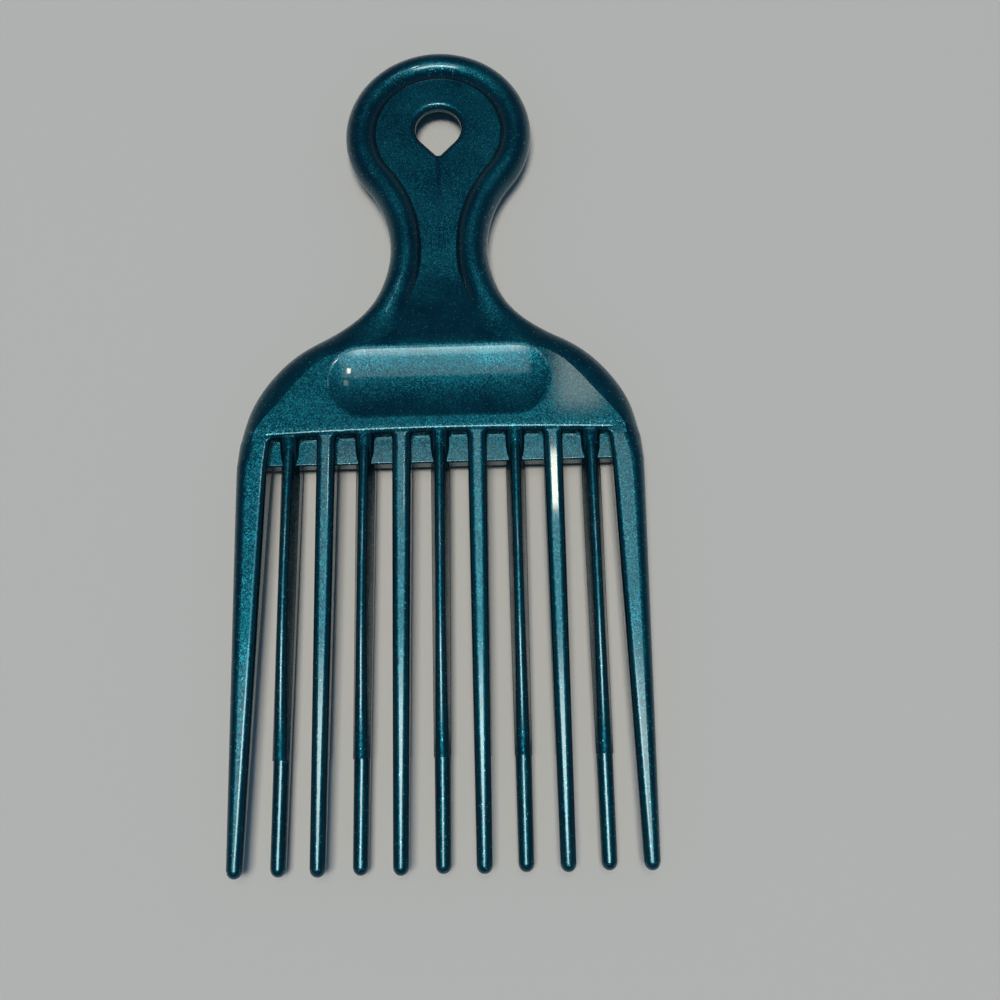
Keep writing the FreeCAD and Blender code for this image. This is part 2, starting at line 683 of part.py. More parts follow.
def guard_sides(number, station):
    """Left and right formula and corner radii of an outer tooth, which ends the outline."""
    place = station.place
    root = root_place(number)
    width = blend("Sizes.guard_tip_width", "Sizes.guard_root_width", TIP_BASE_Y, root, place)
    own, far = tooth_reaches(number, station)
    outer_corner = f"({GUARD_OUTER_SHARE / 2} * ({own} + {far}))"
    if place == TIP_BASE_Y:
        outer_corner = f"({TIP_CORNER_SHARE} * {LEAST_TIP})"
    inner_corner = blend(outer_corner, "Sizes.guard_corner_radius", TIP_BASE_Y, root, place)
    outer = blend(GUARD_TIP_OUTER, "Sizes.shoulder_width / 2", TIP_BASE_Y, SHOULDER_ARC_Y, place)
    if station.foot is None:
        inner_corner = "Sizes.guard_corner_radius"
        outer = f"({shoulder_half_width(place)} - Sizes.face_drop / 2)"
    inner = f"({outer} - {width} - {station.flare} * {GUARD_FLARE})"
    if place == EMBED_Y:
        outer = f"({outer} - Sizes.root_embed)"
    if number == 0:
        return f"-{outer}", f"-{inner}", (outer_corner, inner_corner), (outer_corner, inner_corner)
    return inner, outer, (inner_corner, outer_corner), (inner_corner, outer_corner)


def draw_tooth_section(sketch, number, station):
    """Draw a tooth's section at one of its stations. Even teeth are in the front row."""
    sides = guard_sides if number in (0, TOOTH_COUNT - 1) else inner_sides
    left, right, own_corners, far_corners = sides(number, station)
    own, far = tooth_reaches(number, station)
    up, down, up_corners, down_corners = own, far, own_corners, far_corners
    if number % 2:
        up, down, up_corners, down_corners = far, own, far_corners, own_corners
    corners = (down_corners[1], up_corners[1], up_corners[0], down_corners[0])
    draw_section(sketch, left, right, f"{MID_HEIGHT} - {down}", f"{MID_HEIGHT} + {up}", corners)


def make_tooth(number, shoulder):
    """Tapered tooth with a flared root and a ball tip, seated on the shoulder.

    Teeth are counted from 0 at the left. Even ones are in the front row, odd ones in the rear.
    """
    row, way = ("rear", "-") if number % 2 else ("front", "+")
    name = f"{row}_tooth_{number // 2 + 1}"
    body = document.addObject("PartDesign::Body", f"{name}_blank")
    sections = []
    for index, station in enumerate(tooth_stations(number)):
        sketch = new_sketch(body, f"{name}_section_{index}", "XZ_Plane", f"-{station.place}")
        draw_tooth_section(sketch, number, station)
        sections.append(sketch)
    document.recompute()
    loft = body.newObject("PartDesign::AdditiveLoft", f"{name}_loft")
    loft.Profile = sections[0]
    loft.Sections = sections[1:]
    loft.Ruled = True
    document.recompute()
    ball = document.addObject("Part::Sphere", f"{name}_ball")
    ball.setExpression("Radius", TIP_BALL_RADIUS)
    ball.setExpression("Placement.Base.x", tooth_x(number))
    ball.setExpression("Placement.Base.y", TIP_BASE_Y)
    ball.setExpression("Placement.Base.z", f"{MID_HEIGHT} {way} ({TIP_REACH} - Sizes.row_overlap) / 2")
    rounded = document.addObject("Part::Fuse", f"{name}_rounded")
    rounded.Base = body
    rounded.Tool = ball
    tooth = document.addObject("Part::Cut", name)
    tooth.Base = rounded
    tooth.Tool = shoulder
    document.recompute()
    return tooth


def make_web(number, left_tooth, right_tooth, shoulder):
    """Small plate that joins two neighbouring teeth at their roots."""
    name = f"web_{number}"
    blank = document.addObject("Part::Box", f"{name}_blank")
    first_x = f"{number - 1 - (TOOTH_COUNT - 1) / 2} * {PITCH}"
    blank.setExpression("Length", PITCH)
    blank.setExpression("Width", f"{WALL_Y} - {WEB_END_Y}")
    blank.setExpression("Height", "Sizes.web_thickness")
    blank.setExpression("Placement.Base.x", first_x)
    blank.setExpression("Placement.Base.y", WEB_END_Y)
    blank.setExpression("Placement.Base.z", f"{MID_HEIGHT} - Sizes.web_thickness / 2")
    document.recompute()
    low_y = value(WEB_END_Y)
    near = value("Sizes.face_drop")
    radius = value("Sizes.web_edge_radius")
    rounded = []
    for index, edge in enumerate(blank.Shape.Edges, start=1):
        if edge.BoundBox.YMax < low_y + near and edge.BoundBox.ZLength < near:
            rounded.append((index, radius, radius))
    plate = document.addObject("Part::Fillet", f"{name}_plate")
    plate.Base = blank
    plate.Edges = rounded
    neighbours = document.addObject("Part::Compound", f"{name}_neighbours")
    neighbours.Links = [left_tooth, right_tooth, shoulder]
    web = document.addObject("Part::Cut", name)
    web.Base = plate
    web.Tool = neighbours
    document.recompute()
    return web


def check_and_export(pieces):
    """Stop if any object failed, then write each piece to its own file."""
    for item in document.Objects:
        if "Invalid" in item.State or "Error" in item.State:
            raise RuntimeError(f"{item.Name} failed: {item.State}")
    for piece in pieces:
        if piece.Shape.isNull() or not piece.Shape.isValid():
            raise RuntimeError(f"{piece.Label} has no valid shape")
    os.makedirs("parts", exist_ok=True)
    for piece in pieces:
        piece.Shape.exportStep(f"parts/{piece.Label}.step")
        print(f"{piece.Label}: {len(piece.Shape.Solids)} solid, {piece.Shape.Volume:.1f} mm3")


def build():
    """Make every piece of the pick in order and write the files."""
    rim = make_rim()
    panel = make_panel(rim)
    shoulder = make_shoulder()
    teeth = [make_tooth(number, shoulder) for number in range(TOOTH_COUNT)]
    webs = [make_web(number, *teeth[number - 1:number + 1], shoulder) for number in range(1, TOOTH_COUNT)]
    check_and_export([rim, panel, shoulder, *teeth, *webs])


build()
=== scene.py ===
"""Looks of the moulded afro pick: pearl plastic, ridges, parting lines, a plain studio and the camera.

All lengths are in metres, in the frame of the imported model: +X across the teeth, +Y towards the
head of the handle and +Z up out of the front face.
"""

import functools
import logging
import math
from dataclasses import dataclass
from enum import Enum
from typing import Any, NamedTuple

import bpy
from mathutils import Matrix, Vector
from mathutils.bvhtree import BVHTree


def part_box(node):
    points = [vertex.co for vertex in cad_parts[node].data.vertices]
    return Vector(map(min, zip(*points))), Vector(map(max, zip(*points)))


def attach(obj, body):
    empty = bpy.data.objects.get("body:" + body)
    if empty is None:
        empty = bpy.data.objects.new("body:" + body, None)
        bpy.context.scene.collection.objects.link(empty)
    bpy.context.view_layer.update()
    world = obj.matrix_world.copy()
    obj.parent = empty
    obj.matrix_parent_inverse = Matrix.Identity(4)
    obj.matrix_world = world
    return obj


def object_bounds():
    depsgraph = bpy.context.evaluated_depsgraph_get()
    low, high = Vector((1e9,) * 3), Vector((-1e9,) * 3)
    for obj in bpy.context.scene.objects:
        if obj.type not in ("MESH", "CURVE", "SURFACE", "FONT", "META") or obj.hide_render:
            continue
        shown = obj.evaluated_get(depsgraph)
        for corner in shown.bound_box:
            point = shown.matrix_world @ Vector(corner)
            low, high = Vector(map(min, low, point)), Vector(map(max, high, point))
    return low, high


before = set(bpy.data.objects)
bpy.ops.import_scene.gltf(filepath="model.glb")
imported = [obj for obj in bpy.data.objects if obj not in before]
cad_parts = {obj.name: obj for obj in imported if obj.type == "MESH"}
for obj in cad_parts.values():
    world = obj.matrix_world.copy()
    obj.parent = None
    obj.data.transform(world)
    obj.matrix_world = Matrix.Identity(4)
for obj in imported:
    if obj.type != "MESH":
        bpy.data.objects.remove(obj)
CAD_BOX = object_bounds()
MID_HEIGHT = (CAD_BOX[0].z + CAD_BOX[1].z) / 2

LOG = logging.getLogger("afro_pick")
MILLIMETRE = 0.001
BODY = "root"
Colour = tuple[float, float, float]
Range = tuple[float, float]
Span = tuple[Vector, Vector]
Face = tuple[int, ...]


class Mark(Enum):
    """Traces of moulding and use that a piece of the pick can carry; the edge mark also paints a highlight.
    """

    NONE = "none"
    WELD_LINE = "weld line"
    # Pale specks along the shoulder's wall edge: partly rubbed wear, partly a painted highlight of that
    # edge.
    EDGE_WEAR_AND_HIGHLIGHT = "edge wear"


class Skin(NamedTuple):
    """Colour and roughness of a surface, as outputs of shader nodes."""

    colour: bpy.types.NodeSocket
    roughness: bpy.types.NodeSocket


class NodeBench:
    """Adds shader nodes to one material, lamp or world and wires them together."""

    def __init__(self, owner: bpy.types.ID) -> None:
        """Start from an empty node tree.

        Args:
            owner: The material, lamp or world whose nodes are built.
        """
        owner.use_nodes = True
        self.tree = owner.node_tree
        self.tree.nodes.clear()

    def add(self, kind: str, inputs: dict[str, Any] | None = None, **settings: Any) -> bpy.types.Node:
        """Add a node, set its properties and feed its inputs.

        Args:
            kind: Blender's name of the node type.
            inputs: What goes into the node's inputs, by their names.
            **settings: Properties of the node.

        Returns:
            The new node.
        """
        node = self.tree.nodes.new(kind)
        for name, setting in settings.items():
            setattr(node, name, setting)
        for name, source in (inputs or {}).items():
            self.feed(node.inputs[name], source)
        return node

    def feed(self, target: bpy.types.NodeSocket, source: Any) -> None:
        """Link a socket into another, or set a constant on it.

        Args:
            target: The input socket.
            source: An output socket, a number, a vector or a colour.
        """
        if isinstance(source, bpy.types.NodeSocket):
            self.tree.links.new(source, target)
        else:
            target.default_value = source

    def math(self, operation: str, *values: Any) -> bpy.types.NodeSocket:
        """Add a Math node.

        Args:
            operation: The Math node's operation.
            *values: Its inputs, as sockets or numbers.

        Returns:
            The node's output.
        """
        node = self.add("ShaderNodeMath", operation=operation)
        for target, value in zip(node.inputs, values):
            self.feed(target, value)
        return node.outputs[0]

    def product(self, *values: Any) -> bpy.types.NodeSocket:
        """Multiply two or more values."""
        return functools.reduce(functools.partial(self.math, "MULTIPLY"), values)

    def distance(self, source: bpy.types.NodeSocket, middle: float) -> bpy.types.NodeSocket:
        """How far a value lies from a number, without its sign."""
        return self.math("ABSOLUTE", self.math("SUBTRACT", source, middle))

    def vector(self, operation: str, *values: Any) -> bpy.types.NodeSocket:
        """Add a Vector Math node.

        Args:
            operation: The Vector Math node's operation.
            *values: Its inputs, as sockets or vectors.

        Returns:
            The node's vector output.
        """
        node = self.add("ShaderNodeVectorMath", operation=operation)
        for target, value in zip(node.inputs, values):
            self.feed(target, value)
        return node.outputs["Vector"]

    def scaled(self, source: bpy.types.NodeSocket, scale: float) -> bpy.types.NodeSocket:
        """Scale a vector by a number."""
        inputs = {"Vector": source, "Scale": scale}
        return self.add("ShaderNodeVectorMath", inputs, operation="SCALE").outputs["Vector"]

    def axes(self, source: bpy.types.NodeSocket) -> bpy.types.NodeOutputs:
        """Split a vector into its X, Y and Z."""
        return self.add("ShaderNodeSeparateXYZ", {"Vector": source}).outputs

    def noise(self, place: bpy.types.NodeSocket, size: float, **inputs: float) -> bpy.types.NodeSocket:
        """Add a noise texture.

        Args:
            place: Coordinates.
            size: Size of the noise's largest patches.
            **inputs: Other inputs of the node.

        Returns:
            The noise, from 0 to 1.
        """
        sources = {"Vector": place, "Scale": 1.0 / size, **inputs}
        return self.add("ShaderNodeTexNoise", sources, noise_dimensions="3D").outputs["Fac"]

    def cells(self, place: bpy.types.NodeSocket, size: float) -> bpy.types.NodeOutputs:
        """Divide space into cells about one size across, each with its own random colour."""
        sources = {"Vector": place, "Scale": 1.0 / size}
        return self.add("ShaderNodeTexVoronoi", sources, voronoi_dimensions="3D", feature="F1").outputs

    def mix(self, factor: Any, first: Any, second: Any) -> bpy.types.NodeSocket:
        """Mix two colours.

        Args:
            factor: Share of the second colour.
            first: Colour at factor 0.
            second: Colour at factor 1.

        Returns:
            The mixed colour.
        """
        node = self.add("ShaderNodeMix", {"Factor": factor}, data_type="RGBA")
        for name, colour in (("A", first), ("B", second)):
            target = next(socket for socket in node.inputs if socket.name == name and socket.type == "RGBA")
            self.feed(target, colour if isinstance(colour, bpy.types.NodeSocket) else (*colour, 1.0))
        return next(socket for socket in node.outputs if socket.type == "RGBA")

    def band(self, source: Any, low: float, high: float, start: float, end: float) -> bpy.types.NodeSocket:
        """Map a value smoothly from one range to another, clamped.

        Args:
            source: The value.
            low: Where the range starts.
            high: Where the range ends.
            start: Result at low.
            end: Result at high.

        Returns:
            The mapped value.
        """
        inputs = {"Value": source, "From Min": low, "From Max": high, "To Min": start, "To Max": end}
        return self.add("ShaderNodeMapRange", inputs, interpolation_type="SMOOTHSTEP").outputs["Result"]

    def output(self, kind: str, surface: bpy.types.NodeSocket) -> None:
        """Add the tree's output node and link the finished surface into it."""
        self.add(kind, {"Surface": surface})


@dataclass(frozen=True)
class PearlPlastic:
    """Dyed gloss plastic full of fine metal flakes under a clear skin.

    A strength is the largest share of a trace's colour, and a roughening is what it adds to the
    roughness there.
    """

    deep_colour: Colour = (0.0006, 0.046, 0.076)
    bright_colour: Colour = (0.0012, 0.086, 0.124)
    metallic: float = 0.92
    roughness_range: Range = (0.32, 0.43)
    roughness_patch: float = 7.0 * MILLIMETRE
    coat: float = 0.60
    coat_roughness: float = 0.05
    noise_range: Range = (0.3, 0.7)
    cloud_size: float = 14.0 * MILLIMETRE
    cloud_detail: float = 3.0
    cloud_bright_range: Range = (0.15, 0.6)
    flake_size: float = 0.2 * MILLIMETRE
    flake_tilt: float = 0.2
    flake_bright_share: float = 0.4
    plain_flake_share: float = 0.985
    sparkle_colour: Colour = (0.08, 0.42, 0.50)
    sparkle_strength: float = 0.75
    dust_colour: Colour = (0.30, 0.40, 0.42)
    dust_spacing: float = 9.0 * MILLIMETRE
    dust_radius: float = 0.13 * MILLIMETRE
    dust_core_share: float = 0.5
    dust_strength: float = 0.55
    dust_roughening: float = 0.4
    weld_colour: Colour = (0.0005, 0.022, 0.055)
    weld_core: float = 0.18 * MILLIMETRE
    weld_reach: float = 0.72 * MILLIMETRE
    weld_sway: float = 0.45 * MILLIMETRE
    weld_sway_length: float = 6.0 * MILLIMETRE
    weld_strength: float = 0.75
    weld_low_share: float = 0.15
    # Pale specks along the wall edge, painted in the sparkle colour: partly wear, partly a painted
    # highlight of the edge.
    wear_and_highlight_half_width: float = 0.9 * MILLIMETRE
    wear_and_highlight_depth_range: Range = (0.2 * MILLIMETRE, 1.2 * MILLIMETRE)
    wear_and_highlight_grain: float = 0.35 * MILLIMETRE
    wear_and_highlight_grain_range: Range = (0.52, 0.68)
    wear_and_highlight_strength: float = 0.8
    wear_roughening: float = 0.2

    def material(self, name: str, mark: Mark, span: Span) -> bpy.types.Material:
        """Make the plastic's material for one kind of piece.

        Args:
            name: Name of the material.
            mark: Trace of moulding or use that the piece carries.
            span: Lowest and highest corner of the place where the mark lies.

        Returns:
            The finished material.
        """
        material = bpy.data.materials.new(name)
        bench = NodeBench(material)
        place = bench.add("ShaderNodeTexCoord").outputs["Object"]
        flake = bench.cells(place, self.flake_size)["Color"]
        skin = Skin(self._colour(bench, place, flake), self._roughness(bench, place))
        skin = self._dust(bench, place, skin)
        if mark is Mark.WELD_LINE:
            skin = self._weld_line(bench, place, span, skin)
        elif mark is Mark.EDGE_WEAR_AND_HIGHLIGHT:
            skin = self._edge_wear_and_highlight(bench, place, span, skin)
        inputs = {
            "Base Color": skin.colour,
            "Roughness": skin.roughness,
            "Metallic": self.metallic,
            "Coat Weight": self.coat,
            "Coat Roughness": self.coat_roughness,
            "Normal": self._flake_normal(bench, flake),
        }
        shader = bench.add("ShaderNodeBsdfPrincipled", inputs)
        bench.output("ShaderNodeOutputMaterial", shader.outputs["BSDF"])
        return material

    def _colour(
        self, bench: NodeBench, place: bpy.types.NodeSocket, flake: bpy.types.NodeSocket
    ) -> bpy.types.NodeSocket:
        """Colour of the flakes: clouds of deeper and brighter teal, and a few bright sparkles.

        Args:
            bench: The material's bench.
            place: Object coordinates.
            flake: Random colour of each flake.

        Returns:
            The colour.
        """
        chance = bench.add("ShaderNodeSeparateColor", {"Color": flake}).outputs
        cloud = bench.noise(place, self.cloud_size, Detail=self.cloud_detail)
        drift = bench.band(cloud, *self.noise_range, *self.cloud_bright_range)
        share = bench.math("MULTIPLY_ADD", chance["Red"], self.flake_bright_share, drift)
        teal = bench.mix(share, self.deep_colour, self.bright_colour)
        sparkle = bench.math("GREATER_THAN", chance["Green"], self.plain_flake_share)
        return bench.mix(bench.product(sparkle, self.sparkle_strength), teal, self.sparkle_colour)

    def _roughness(self, bench: NodeBench, place: bpy.types.NodeSocket) -> bpy.types.NodeSocket:
        """Roughness of the flake layer, which drifts a little over the moulding."""
        drift = bench.noise(place, self.roughness_patch)
        return bench.band(drift, *self.noise_range, *self.roughness_range)

    def _dust(self, bench: NodeBench, place: bpy.types.NodeSocket, skin: Skin) -> Skin:
        """Scatter small dust specks over the plastic.

        Args:
            bench: The material's bench.
            place: Object coordinates.
            skin: Surface under the dust.

        Returns:
            The surface with the dust.
        """
        reach = self.dust_radius / self.dust_spacing
        away = bench.cells(place, self.dust_spacing)["Distance"]
        share = bench.band(away, reach * self.dust_core_share, reach, self.dust_strength, 0.0)
        rougher = bench.math("MULTIPLY_ADD", share, self.dust_roughening, skin.roughness)
        return Skin(bench.mix(share, skin.colour, self.dust_colour), rougher)

    def _weld_line(self, bench: NodeBench, place: bpy.types.NodeSocket, span: Span, skin: Skin) -> Skin:
        """Draw the dark line where two streams of plastic met, strongest at its upper end.

        Args:
            bench: The material's bench.
            place: Object coordinates.
            span: Lowest and highest corner of the place where it lies.
            skin: Surface under the line.

        Returns:
            The surface with the line.
        """
        low, high = span
        axes = bench.axes(place)
        bend = bench.math("SUBTRACT", bench.noise(place, self.weld_sway_length), 0.5)
        off = bench.math("ABSOLUTE", bench.math("MULTIPLY_ADD", bend, self.weld_sway, axes["X"]))
        line = bench.band(off, self.weld_core, self.weld_reach, self.weld_strength, 0.0)
        along = bench.band(axes["Y"], low.y, high.y, self.weld_low_share, 1.0)
        below = bench.math("LESS_THAN", axes["Y"], high.y)
        share = bench.product(line, along, below)
        return Skin(bench.mix(share, skin.colour, self.weld_colour), skin.roughness)

    def _edge_wear_and_highlight(self, bench: NodeBench, place: bpy.types.NodeSocket, span: Span, skin: Skin) -> Skin:
        """Paint the plastic pale in small bits along an edge across the front face: rubbed wear and a
        painted highlight of the edge.

        Args:
            bench: The material's bench.
            place: Object coordinates.
            span: Corners whose lowest Y is the edge and whose highest Z is the front face.
            skin: Surface under the wear and painted highlight.

        Returns:
            The surface with the wear and painted highlight.
        """
        low, high = span
        axes = bench.axes(place)
        shallow, deep = self.wear_and_highlight_depth_range
        edge = bench.band(bench.distance(axes["Y"], low.y), 0.0, self.wear_and_highlight_half_width, 1.0, 0.0)
        face = bench.band(axes["Z"], high.z - deep, high.z - shallow, 0.0, 1.0)
        grain = bench.noise(place, self.wear_and_highlight_grain)
        bits = bench.band(grain, *self.wear_and_highlight_grain_range, 0.0, self.wear_and_highlight_strength)
        share = bench.product(edge, face, bits)
        rougher = bench.math("MULTIPLY_ADD", share, self.wear_roughening, skin.roughness)
        # The pale sparkle colour here is partly wear and partly a painted highlight on the rounded edge.
        return Skin(bench.mix(share, skin.colour, self.sparkle_colour), rougher)

    def _flake_normal(self, bench: NodeBench, flake: bpy.types.NodeSocket) -> bpy.types.NodeSocket:
        """Tilt each flake its own way from the surface.

        Args:
            bench: The material's bench.
            flake: Random colour of each flake.

        Returns:
            The tilted normal.
        """
        normal = bench.add("ShaderNodeNewGeometry").outputs["Normal"]
        lean = bench.vector("SUBTRACT", flake, (0.5, 0.5, 0.5))
        tilted = bench.vector("ADD", normal, bench.scaled(lean, self.flake_tilt))
        return bench.vector("NORMALIZE", tilted)


def loft(rings: list[list[Vector]], flipped: bool) -> tuple[list[Vector], list[Face]]:
    """Join sections of one point count into a closed skin.

    Args:
        rings: The sections, in order.
        flipped: Whether the faces run the other way round.

    Returns:
        The skin's points and faces.
    """
    count = len(rings[0])
    last = (len(rings) - 1) * count
    faces = [tuple(range(count)), tuple(reversed(range(last, last + count)))]
    for start in range(0, last, count):
        for corner in range(count):
            first = start + corner
            second = start + (corner + 1) % count
            faces.append((second, first, first + count, second + count))
    if flipped:
        faces = [face[::-1] for face in faces]
    return [point for ring in rings for point in ring], faces


def add_piece(
    name: str, points: list[Vector], faces: list[Face], material: bpy.types.Material
) -> bpy.types.Mesh:
    """Add a piece of the moulding that isn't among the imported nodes.

    Args:
        name: Name of the piece.
        points: Its vertices.
        faces: Its faces.
        material: Its material.

    Returns:
        The piece's mesh.
    """
    mesh = bpy.data.meshes.new(name)
    mesh.from_pydata(points, [], faces)
    mesh.update()
    mesh.materials.append(material)
    piece = bpy.data.objects.new(name, mesh)
    bpy.context.scene.collection.objects.link(piece)
    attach(piece, BODY)
    LOG.info("built %s", name)
    return mesh


@dataclass
class Moulding:
    """A group of the pick's moulded pieces that share one material."""

    name: str
    nodes: tuple[str, ...]
    mark: Mark = Mark.NONE

    def span(self) -> Span:
        """Box around the group.

        Returns:
            Its lowest and highest corner.
        """
        boxes = [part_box(node) for node in self.nodes]
        low = Vector(min(box[0][axis] for box in boxes) for axis in range(3))
        high = Vector(max(box[1][axis] for box in boxes) for axis in range(3))
        return low, high

    def mark_span(self) -> Span:
        """Where the group's mark lies."""
        return self.span()

    def dress(self, finish: PearlPlastic) -> None:
        """Give every piece of the group the finish.

        Args:
            finish: The plastic.
        """
        material = finish.material(f"{self.name}_plastic", self.mark, self.mark_span())
        for node in self.nodes:
            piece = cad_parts[node]
            piece.data.materials.clear()
            piece.data.materials.append(material)
            LOG.info("dressed %s", node)


@dataclass
class Handle(Moulding):
    """Rim and panel of the handle, with the weld line below the hanging hole."""

    hole_drop: float = 25.0 * MILLIMETRE

    def mark_span(self) -> Span:
        """The weld line fades from the hole down to the neck."""
        low, high = self.span()
        return low, Vector((high.x, high.y - self.hole_drop, high.z))


@dataclass
class Shoulder(Moulding):
    """The shoulder, with pale wear and a painted highlight along the wall that faces the teeth."""

    wall_run: float = 2.1 * MILLIMETRE

    def mark_span(self) -> Span:
        """The wear and painted highlight follow the wall's upper edge."""
        low, high = self.span()
        return Vector((low.x, low.y + self.wall_run, low.z)), high


@dataclass
class ToothRow(Moulding):
    """One row of teeth, with the ridges on their far sides and the mould's parting lines.

    The far side of a row is the one that faces away from its own face of the pick: up, or a
    far_way of 1, for the rear row, and down, or -1, for the front row. The heights that ridges
    reach are counted from the middle height of the pick.
    """

    far_way: int = 1
    guards: tuple[str, ...] = ()
    flank_depth: float = 1.0 * MILLIMETRE
    ray_clear: float = 1.0 * MILLIMETRE
    tip_run: float = 19.4 * MILLIMETRE
    ridge_root_clear: float = 1.0 * MILLIMETRE
    ridge_embed: float = 0.5 * MILLIMETRE
    ridge_skirt: float = 0.9 * MILLIMETRE
    ridge_proud: float = 0.012 * MILLIMETRE
    crest_reach: float = 3.75 * MILLIMETRE
    end_reach: float = 1.27 * MILLIMETRE
    crest_share: float = 0.38
    root_dip_share: float = 0.29
    fall_power: float = 2.1
    crest_top_share: float = 0.56
    end_top_share: float = 0.93
    ridge_station_count: int = 44
    top_point_count: int = 17
    sharp_angle: float = 13.0
    line_proud: float = 0.05 * MILLIMETRE
    line_height: float = 0.16 * MILLIMETRE
    line_sunk: float = 0.05 * MILLIMETRE
    line_root_clear: float = 7.0 * MILLIMETRE
    line_station_count: int = 28

    def inner_teeth(self) -> tuple[str, ...]:
        """The row's teeth without the guards."""
        return tuple(node for node in self.nodes if node not in self.guards)

    def build_ridges(self, finish: PearlPlastic) -> None:
        """Raise the round ridge along the far side of every inner tooth.

        Args:
            finish: The plastic.
        """
        material = finish.material(f"{self.name}_ridge_plastic", Mark.NONE, self.span())
        for node in self.inner_teeth():
            points, faces = loft(self._ridge_rings(node), flipped=self.far_way < 0)
            mesh = add_piece(f"{node}_ridge", points, faces, material)
            mesh.polygons.foreach_set("use_smooth", [True] * len(mesh.polygons))
            mesh.set_sharp_from_angle(angle=math.radians(self.sharp_angle))
            mesh.update()

    def _ridge_rings(self, node: str) -> list[list[Vector]]:
        """Sections of one tooth's ridge, from inside the shoulder to where it runs out.

        Args:
            node: The tooth.

        Returns:
            The sections.
        """
        tree = self._tree(node)
        low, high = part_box(node)
        start = high.y - self.ridge_root_clear
        end = low.y + self.tip_run
        rings = []
        for station in range(self.ridge_station_count + 1):
            share = station / self.ridge_station_count
            y = start + (end - start) * share
            rings.append(self._ridge_ring(self._flanks(tree, node, y), y, share))
        into_shoulder = Vector((0.0, self.ridge_root_clear + self.ridge_embed, 0.0))
        return [[point + into_shoulder for point in rings[0]], *rings]

    def _ridge_ring(self, flanks: Range, y: float, share: float) -> list[Vector]:
        """Section of a ridge, from its right skirt over the round top to its left skirt.

        Args:
            flanks: Where the tooth's left and right flank are.
            y: Place along the tooth.
            share: How far along the ridge that is.

        Returns:
            The section's points.
        """
        left, right = flanks
        half = (right - left) / 2 + self.ridge_proud
        rise, top_share = self._ridge_rise(share)
        reach = self.end_reach + rise * (self.crest_reach - self.end_reach)
        radius = top_share * (right - left) / 2
        centre = reach - radius
        lean = math.atan2(-centre, half) + math.acos(radius / math.hypot(half, centre))
        section = [(half, -self.ridge_skirt), (half, 0.0)]
        for step in range(self.top_point_count):
            angle = lean + (math.pi - 2 * lean) * step / (self.top_point_count - 1)
            section.append((radius * math.cos(angle), centre + radius * math.sin(angle)))
        section += [(-half, 0.0), (-half, -self.ridge_skirt)]
        middle_x = (left + right) / 2
        return [Vector((middle_x + across, y, MID_HEIGHT + self.far_way * up)) for across, up in section]

    def _ridge_rise(self, share: float) -> Range:
        """Height of a ridge and roundness of its top, which crests early and then falls away.

        Args:
            share: How far along the ridge.

        Returns:
            Height as a share of the way from end_reach to crest_reach, and the top's radius as a
            share of half the tooth's width.
        """
        if share < self.crest_share:
            away = 1.0 - share / self.crest_share
            return 1.0 - self.root_dip_share * away**2, self.crest_top_share
        away = (share - self.crest_share) / (1.0 - self.crest_share)
        top_share = self.crest_top_share + (self.end_top_share - self.crest_top_share) * away**2
        return 1.0 - away**self.fall_power, top_share

    def _tree(self, node: str) -> BVHTree:
        """Search tree over a tooth's faces."""
        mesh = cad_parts[node].data
        return BVHTree.FromPolygons([v.co for v in mesh.vertices], [p.vertices[:] for p in mesh.polygons])

    def _flanks(self, tree: BVHTree, node: str, y: float) -> Range:
        """Where a tooth's left and right flank are, just on its own side of the middle height.

        Args:
            tree: Search tree over the tooth's faces.
            node: The tooth.
            y: Place along the tooth.

        Returns:
            X of the left and of the right flank.
        """
        low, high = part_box(node)
        rightwards = Vector((1.0, 0.0, 0.0))
        height = MID_HEIGHT - self.far_way * self.flank_depth
        from_left = tree.ray_cast(Vector((low.x - self.ray_clear, y, height)), rightwards)
        from_right = tree.ray_cast(Vector((high.x + self.ray_clear, y, height)), -rightwards)
        return from_left[0].x, from_right[0].x

    def build_parting_lines(self, finish: PearlPlastic) -> None:
        """Run a fine seam along both flanks of every inner tooth at the middle height.

        Args:
            finish: The plastic.
        """
        points: list[Vector] = []
        faces: list[Face] = []
        for node in self.inner_teeth():
            for side in (-1, 1):
                first = len(points)
                seam_points, seam_faces = loft(self._seam_rings(node, side), flipped=side < 0)
                points += seam_points
                faces += [tuple(first + corner for corner in face) for face in seam_faces]
        material = finish.material(f"{self.name}_line_plastic", Mark.NONE, self.span())
        add_piece(f"{self.name}_parting_lines", points, faces, material)

    def _seam_rings(self, node: str, side: int) -> list[list[Vector]]:
        """Triangular sections of one seam, from where the ridge runs out towards the root.

        Args:
            node: The tooth.
            side: -1 for its left flank and 1 for its right flank.

        Returns:
            The sections.
        """
        tree = self._tree(node)
        low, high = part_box(node)
        start = low.y + self.tip_run
        end = high.y - self.line_root_clear
        rise = Vector((0.0, 0.0, self.line_height / 2))
        rings = []
        for station in range(self.line_station_count + 1):
            y = start + (end - start) * station / self.line_station_count
            left, right = self._flanks(tree, node, y)
            flank = left if side < 0 else right
            sunk = Vector((flank - side * self.line_sunk, y, MID_HEIGHT))
            proud = Vector((flank + side * self.line_proud, y, MID_HEIGHT))
            rings.append([sunk + rise, proud, sunk - rise])
        return rings


